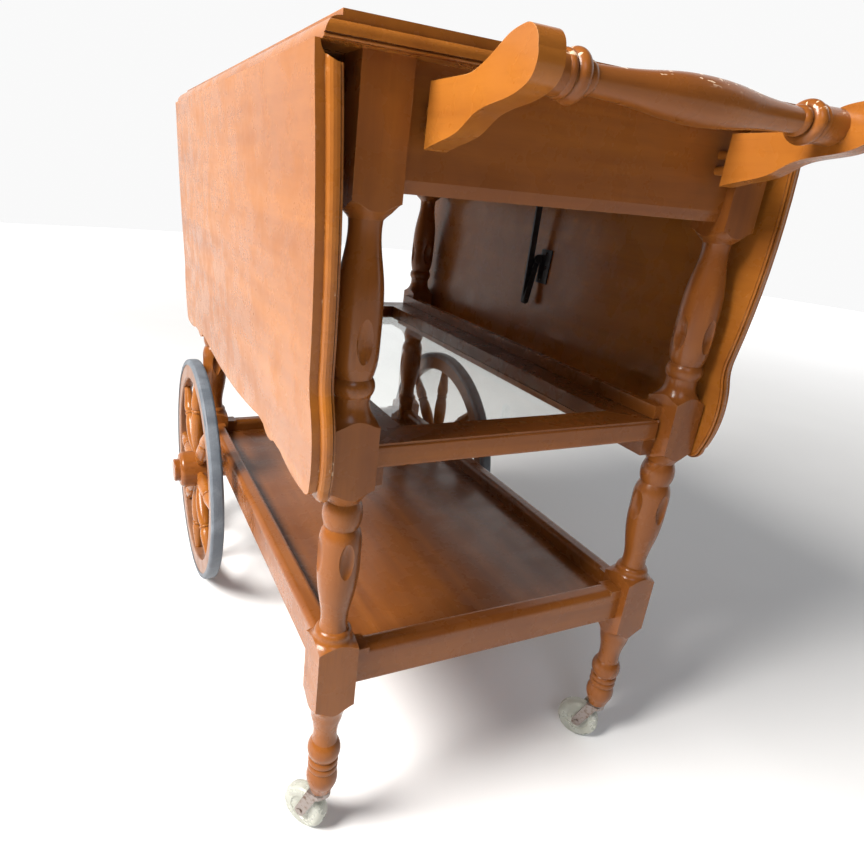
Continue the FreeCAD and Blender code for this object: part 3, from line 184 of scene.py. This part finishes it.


# Painted shade: the near black that the metal's hollows are darkened towards, and how far it reaches.
HOLLOW_SHADE_TONE = rgb(0.02, 0.015, 0.012)
HOLLOW_SHADE_REACH = 0.006
METAL_RELIEF = 0.0004


def steel(name, tint, rust, roughness):
    """Plain metal, dulled and spotted, with painted shade darkening its hollows."""
    g = Graph(name)
    spots = g.noise(g.mapped((1, 1, 1)), 210.0, 4.0, 0.65)
    streak = g.noise(g.mapped((1, 1, 0.15)), 600.0, 2.0)
    base = g.mix(g.ramp(spots, 0.45, 0.70), tint, rust)
    # Painted shade: ambient occlusion darkens the hollows of the metal.
    hollow_shade = g.ramp(g.crevice(HOLLOW_SHADE_REACH), 0.3, 0.9, 0.8, 0.0)
    base = g.mix(g.math("MULTIPLY", hollow_shade, 0.8), base, HOLLOW_SHADE_TONE)
    rough = g.ramp(spots, 0.3, 0.75, roughness - 0.08, roughness + 0.2)
    shader = g.add("ShaderNodeBsdfPrincipled", Base_Color=base, Roughness=rough,
                   Normal=g.bump(g.math("ADD", spots, g.math("MULTIPLY", streak, 0.3)), 0.25, METAL_RELIEF))
    shader.inputs["Metallic"].default_value = 0.75
    return g.finish(shader)


def black_iron():
    """Black enamelled strip iron, thin on the edges."""
    g = Graph("black_iron")
    grit = g.noise(g.mapped((1, 1, 1)), 260.0, 3.0, 0.6)
    edge = g.math("MULTIPLY", g.edge_wear(0.0008, 0.82, 0.97), g.ramp(grit, 0.45, 0.65))
    base = g.mix(g.ramp(grit, 0.3, 0.75), rgb(0.012, 0.012, 0.013), rgb(0.035, 0.032, 0.030))
    base = g.mix(edge, base, rgb(0.22, 0.20, 0.18))
    rough = g.ramp(grit, 0.3, 0.75, 0.32, 0.55)
    shader = g.add("ShaderNodeBsdfPrincipled", Base_Color=base, Roughness=rough,
                   Normal=g.bump(grit, 0.2, METAL_RELIEF))
    shader.inputs["Metallic"].default_value = 0.3
    return g.finish(shader)


# Ripples per metre across the tread, as an angle.
MOULD_LINES = 2400.0


def tyre_rubber():
    """Old blue-grey rubber, dusty on the tread, with fine mould lines round the wheel."""
    g = Graph("tyre_rubber")
    grain = g.noise(g.mapped((1, 1, 1)), 480.0, 3.0, 0.6)
    dust = g.noise(g.mapped((1, 1, 1)), 22.0, 4.0, 0.65, 0.8)
    base = g.mix(g.ramp(dust, 0.35, 0.75), rgb(0.085, 0.100, 0.120), rgb(0.170, 0.190, 0.215))
    base = g.mix(g.math("MULTIPLY", g.ramp(grain, 0.55, 0.8), 0.4), base, rgb(0.02, 0.022, 0.025))
    across = g.add("ShaderNodeSeparateXYZ", Vector=g.coords).outputs["X"]
    lines = g.math("SINE", g.math("MULTIPLY", across, MOULD_LINES))
    relief = g.math("ADD", grain, g.math("MULTIPLY", lines, 0.25))
    shader = g.add("ShaderNodeBsdfPrincipled", Base_Color=base, Roughness=g.ramp(dust, 0.3, 0.75, 0.48, 0.72),
                   Normal=g.bump(relief, 0.25, 0.0005))
    return g.finish(shader)


def caster_plastic():
    """Cloudy off-white plastic that lets some light through, scratched by use."""
    g = Graph("caster_plastic")
    cloud = g.noise(g.mapped((1, 1, 1)), 60.0, 3.0, 0.6)
    scratch = g.noise(g.mapped((1, 1, 6)), 420.0, 3.0, 0.7)
    base = g.mix(g.ramp(cloud, 0.35, 0.7), rgb(0.60, 0.61, 0.54), rgb(0.44, 0.44, 0.38))
    base = g.mix(g.math("MULTIPLY", g.ramp(scratch, 0.56, 0.72), 0.35), base, rgb(0.42, 0.40, 0.35))
    rough = g.ramp(cloud, 0.3, 0.75, 0.22, 0.42)
    shader = g.add("ShaderNodeBsdfPrincipled", Base_Color=base, Roughness=rough,
                   Normal=g.bump(scratch, 0.18, 0.0003))
    shader.inputs["Transmission Weight"].default_value = 0.35
    shader.inputs["IOR"].default_value = 1.46
    shader.inputs["Subsurface Weight"].default_value = 0.25
    shader.inputs["Subsurface Radius"].default_value = (0.006, 0.006, 0.005)
    return g.finish(shader)


def tray_glass():
    """Clear sheet glass with faint smears of handling on it."""
    g = Graph("tray_glass")
    smear = g.noise(g.mapped((1, 0.35, 1), turn=(0, 0, 0.5)), 9.0, 5.0, 0.7, 1.5)
    tint = g.mix(g.ramp(smear, 0.4, 0.75), rgb(0.94, 0.97, 0.96), rgb(0.88, 0.91, 0.90))
    shader = g.add("ShaderNodeBsdfPrincipled", Base_Color=tint, Roughness=g.ramp(smear, 0.45, 0.8, 0.0, 0.06))
    shader.inputs["Transmission Weight"].default_value = 1.0
    shader.inputs["IOR"].default_value = 1.5
    return g.finish(shader)


# Where the chips fade in: up the pull bar, and out from the middle of a leaf towards its ends.
BAR_CHIPS_FROM = 0.7270
BAR_CHIPS_TO = 0.7315
LEAF_CHIPS_FROM = 0.325
LEAF_CHIPS_TO = 0.331
BARE_WOOD = rgb(0.72, 0.52, 0.36)
BARE_EDGE = rgb(0.56, 0.40, 0.26)


def bar_scuffs(g, tint):
    """Chips down to bare wood along the top of the pull bar."""
    split = g.add("ShaderNodeSeparateXYZ", Vector=g.coords)
    high = g.ramp(split.outputs["Z"], BAR_CHIPS_FROM, BAR_CHIPS_TO)
    chips = g.ramp(g.noise(g.mapped((0.6, 1.4, 1.0)), 210.0, 2.0, 0.5), 0.62, 0.66)
    return g.mix(g.math("MULTIPLY", high, chips), tint, BARE_WOOD)


def leaf_scuffs(g, tint):
    """Small pale knocks down the ends of a leaf."""
    split = g.add("ShaderNodeSeparateXYZ", Vector=g.coords)
    out = g.math("ABSOLUTE", g.math("SUBTRACT", split.outputs["Y"], TABLE_Y))
    end = g.ramp(out, LEAF_CHIPS_FROM, LEAF_CHIPS_TO)
    chips = g.ramp(g.noise(g.mapped((1.0, 1.0, 0.5)), 150.0, 3.0, 0.6), 0.66, 0.72, 0.0, 0.8)
    patch = g.ramp(g.noise(g.mapped((1.0, 1.0, 1.0)), 14.0, 2.0, 0.5), 0.46, 0.58)
    return g.mix(g.math("MULTIPLY", g.math("MULTIPLY", end, patch), chips), tint, BARE_EDGE)


WOODS = {
    "tabletop": ("Y", GOLDEN, 3.1), "leaf_left": ("Y", GOLDEN, 4.2), "leaf_right": ("Y", GOLDEN, 9.7),
    "apron_front": ("X", AMBER, 1.3), "apron_rear": ("X", AMBER, 6.1),
    "apron_left": ("Y", AMBER, 2.2), "apron_right": ("Y", AMBER, 7.9),
    "leg_front_left": ("Z", AMBER, 0.4), "leg_front_right": ("Z", AMBER, 5.5),
    "leg_rear_left": ("Z", AMBER, 8.3), "leg_rear_right": ("Z", AMBER, 2.7),
    "shelf_panel": ("Y", BROWN, 3.6),
    "shelf_rail_front": ("X", AMBER, 4.9), "shelf_rail_rear": ("X", AMBER, 0.9),
    "shelf_rail_left": ("Y", AMBER, 5.8), "shelf_rail_right": ("Y", AMBER, 6.6),
    "tray_frame_front": ("X", AMBER, 7.1), "tray_frame_rear": ("X", AMBER, 8.8),
    "tray_frame_left": ("Y", BROWN, 1.9), "tray_frame_right": ("Y", BROWN, 2.9),
    "guide_strip_left": ("Y", AMBER, 3.3), "guide_strip_right": ("Y", AMBER, 4.4),
    "tray_runner_left": ("Y", BROWN, 5.1), "tray_runner_right": ("Y", BROWN, 6.3),
    "handle_arm_left": ("Y", GOLDEN, 7.4), "handle_arm_right": ("Y", GOLDEN, 8.1),
    "handle_bar": ("X", AMBER, 9.2),
    "axle_block_left": ("Y", BROWN, 1.1), "axle_block_right": ("Y", BROWN, 2.4),
}
SCUFFED = {"handle_bar": bar_scuffs, "leaf_left": leaf_scuffs, "leaf_right": leaf_scuffs}


def dress(node, material):
    """Give a CAD node its material, in every slot."""
    mesh = nodes[node].data
    mesh.materials.clear()
    mesh.materials.append(material)


for node, (axis, tone, seed) in WOODS.items():
    dress(node, varnished_wood("wood_" + node, axis, tone, seed, scuffs=SCUFFED.get(node)))

RIM = dict(light=rgb(0.26, 0.120, 0.060), dark=rgb(0.17, 0.070, 0.032), deep=rgb(0.06, 0.020, 0.011))
for side, seed in (("left", 1.7), ("right", 5.2)):
    turned = varnished_wood("wood_wheel_" + side, "X", AMBER, seed)
    rim = varnished_wood("wood_rim_" + side, "Z", RIM, seed + 2.0, gloss=0.34)
    dress("wheel_%s_hub" % side, turned)
    dress("wheel_%s_cap" % side, turned)
    dress("wheel_%s_spokes" % side, varnished_wood("wood_spokes_" + side, "Z", GOLDEN, seed + 4.0))
    dress("wheel_%s_rim" % side, rim)

rubber = tyre_rubber()
plastic = caster_plastic()
iron = black_iron()
fork_steel = steel("fork_steel", rgb(0.30, 0.26, 0.24), rgb(0.16, 0.09, 0.06), 0.42)
hinge_steel = steel("hinge_steel", rgb(0.45, 0.40, 0.32), rgb(0.20, 0.13, 0.08), 0.40)
axle_steel = steel("axle_steel", rgb(0.50, 0.49, 0.47), rgb(0.22, 0.16, 0.12), 0.34)
dress("axle", axle_steel)
dress("tray_glass", tray_glass())
for side in ("left", "right"):
    dress("wheel_%s_tyre" % side, rubber)
    dress("caster_wheel_" + side, plastic)
    dress("caster_fork_" + side, fork_steel)
    dress("caster_stem_" + side, fork_steel)
    dress("hinge_plates_top_" + side, hinge_steel)
    dress("hinge_plates_leaf_" + side, hinge_steel)
    for part in ("frame_plate", "leaf_plate", "upper_link", "lower_link"):
        dress("brace_%s_%s" % (part, side), iron)


# ------------------------------------------------------------------ softened edges

# Width of the rounded arris on each kind of node, in metres.
ARRIS = (
    ("leg_", 0.0009), ("apron_", 0.0008), ("shelf_rail_", 0.0012), ("tray_frame_", 0.0008),
    ("guide_strip_", 0.0012), ("tray_runner_", 0.001), ("handle_arm_", 0.0022), ("axle_block_", 0.001),
    ("leaf_", 0.0006), ("tabletop", 0.0006), ("brace_", 0.0003), ("caster_fork_", 0.0004),
)


ARRIS_SEGMENTS = 3
ARRIS_ANGLE = math.radians(32.0)


def soften(node, width):
    piece = nodes[node]
    arris = piece.modifiers.new("arris", "BEVEL")
    arris.width = width
    arris.segments = ARRIS_SEGMENTS
    arris.limit_method = "ANGLE"
    arris.angle_limit = ARRIS_ANGLE
    arris.use_clamp_overlap = True
    arris.harden_normals = False


for node in nodes:
    for stem, width in ARRIS:
        if node.startswith(stem):
            soften(node, width)
            break


# ------------------------------------------------------------------ floor, light and camera

CAMERA_AT = Vector((-0.3751, TABLE_Y - 0.7588, 0.6536))
CAMERA_YAW = math.radians(25.926)
CAMERA_PITCH = math.radians(20.262)
CAMERA_ROLL = math.radians(-5.653)
# Sensor width and focal length in millimetres, and the lens shift as a share of the picture.
SENSOR = 36.0
LENS = 26.78725
SHIFT = (0.0551053, -0.0153773)
CLIP = (0.02, 60.0)


def add_camera():
    """The viewing angle: yaw from +Y towards +X, pitch below the horizon, then roll."""
    forward = Vector((math.sin(CAMERA_YAW) * math.cos(CAMERA_PITCH),
                      math.cos(CAMERA_YAW) * math.cos(CAMERA_PITCH), -math.sin(CAMERA_PITCH)))
    level = Vector((math.cos(CAMERA_YAW), -math.sin(CAMERA_YAW), 0.0))
    below = forward.cross(level)
    right = math.cos(CAMERA_ROLL) * level + math.sin(CAMERA_ROLL) * below
    down = math.cos(CAMERA_ROLL) * below - math.sin(CAMERA_ROLL) * level
    data = bpy.data.cameras.new("camera")
    data.sensor_width = SENSOR
    data.lens = LENS
    data.shift_x, data.shift_y = SHIFT
    data.clip_start, data.clip_end = CLIP
    camera = bpy.data.objects.new("camera", data)
    camera.matrix_world = Matrix((
        (right.x, -down.x, -forward.x, CAMERA_AT.x),
        (right.y, -down.y, -forward.y, CAMERA_AT.y),
        (right.z, -down.z, -forward.z, CAMERA_AT.z),
        (0.0, 0.0, 0.0, 1.0),
    ))
    bpy.context.scene.collection.objects.link(camera)
    bpy.context.scene.camera = camera


def stage_mesh(name, corners, faces, graph, shader):
    """One surface of the studio round the cart."""
    mesh = bpy.data.meshes.new(name)
    mesh.from_pydata(corners, [], faces)
    mesh.materials.append(graph.finish(shader))
    piece = bpy.data.objects.new(name, mesh)
    bpy.context.scene.collection.objects.link(piece)


FLOOR_REACH = 14.0
FLOOR_BELOW = 0.0004
FLOOR_GLOW_FROM = 1.3
FLOOR_GLOW_TO = 4.0
FLOOR_GLOW = 0.5


def add_floor():
    g = Graph("floor")
    cloud = g.noise(g.mapped((1, 1, 1)), 1.4, 3.0)
    base = g.mix(g.ramp(cloud, 0.3, 0.7), rgb(0.84, 0.84, 0.84), rgb(0.88, 0.88, 0.88))
    distance = g.tree.nodes.new("ShaderNodeVectorMath")
    distance.operation = "LENGTH"
    g.put(distance.inputs[0], g.coords)
    glow = g.ramp(distance.outputs["Value"], FLOOR_GLOW_FROM, FLOOR_GLOW_TO, 0.0, FLOOR_GLOW)
    shader = g.add("ShaderNodeBsdfPrincipled", Base_Color=base, Roughness=0.7, Emission_Strength=glow)
    reach, z = FLOOR_REACH, -FLOOR_BELOW
    corners = [(-reach, -reach, z), (reach, -reach, z), (reach, reach, z), (-reach, reach, z)]
    stage_mesh("floor", corners, [(0, 1, 2, 3)], g, shader)


BACKDROP_RADIUS = 6.0
BACKDROP_HEIGHT = 6.0
BACKDROP_GLOW = 0.95
BACKDROP_FROM = -50
BACKDROP_TO = 110
BACKDROP_STEP = 10
BACKDROP_FOOT = -0.01


def add_backdrop():
    """A softly glowing curved screen behind the cart; its azimuth runs from +Y towards +X."""
    g = Graph("backdrop")
    shader = g.add("ShaderNodeEmission", Color=rgb(1.0, 1.0, 1.0), Strength=BACKDROP_GLOW)
    corners = []
    for degrees in range(BACKDROP_FROM, BACKDROP_TO + BACKDROP_STEP, BACKDROP_STEP):
        angle = math.radians(degrees)
        x, y = BACKDROP_RADIUS * math.sin(angle), BACKDROP_RADIUS * math.cos(angle)
        corners += [(x, y, BACKDROP_FOOT), (x, y, BACKDROP_HEIGHT)]
    faces = [(k, k + 1, k + 3, k + 2) for k in range(0, len(corners) - 2, 2)]
    stage_mesh("backdrop", corners, faces, g, shader)


AMBIENT = 0.07
# Name, place, aim, width in metres, power in watts and colour.
LAMPS = (
    ("key", (-2.25, -0.32, 2.35), (-0.1, 0.0, 0.4), 1.4, 215.0, (1.0, 0.97, 0.93)),
    ("front", (-0.9, -2.4, 2.2), (0.0, 0.0, 0.55), 1.2, 13.0, (0.78, 0.87, 1.0)),
)


def add_area(name, at, target, size, watts, colour):
    data = bpy.data.lights.new(name, "AREA")
    data.shape = "DISK"
    data.size = size
    data.energy = watts
    data.color = colour
    lamp = bpy.data.objects.new(name, data)
    lamp.location = at
    lamp.rotation_mode = "QUATERNION"
    lamp.rotation_quaternion = (Vector(target) - Vector(at)).to_track_quat("-Z", "Y")
    bpy.context.scene.collection.objects.link(lamp)


def add_light():
    world = bpy.data.worlds.new("studio")
    world.use_nodes = True
    sky = world.node_tree.nodes["Background"]
    sky.inputs["Color"].default_value = rgb(1.0, 1.0, 1.0)
    sky.inputs["Strength"].default_value = AMBIENT
    bpy.context.scene.world = world
    for lamp in LAMPS:
        add_area(*lamp)
    bpy.context.scene.view_settings.view_transform = "Standard"


add_floor()
add_backdrop()
add_light()
add_camera()
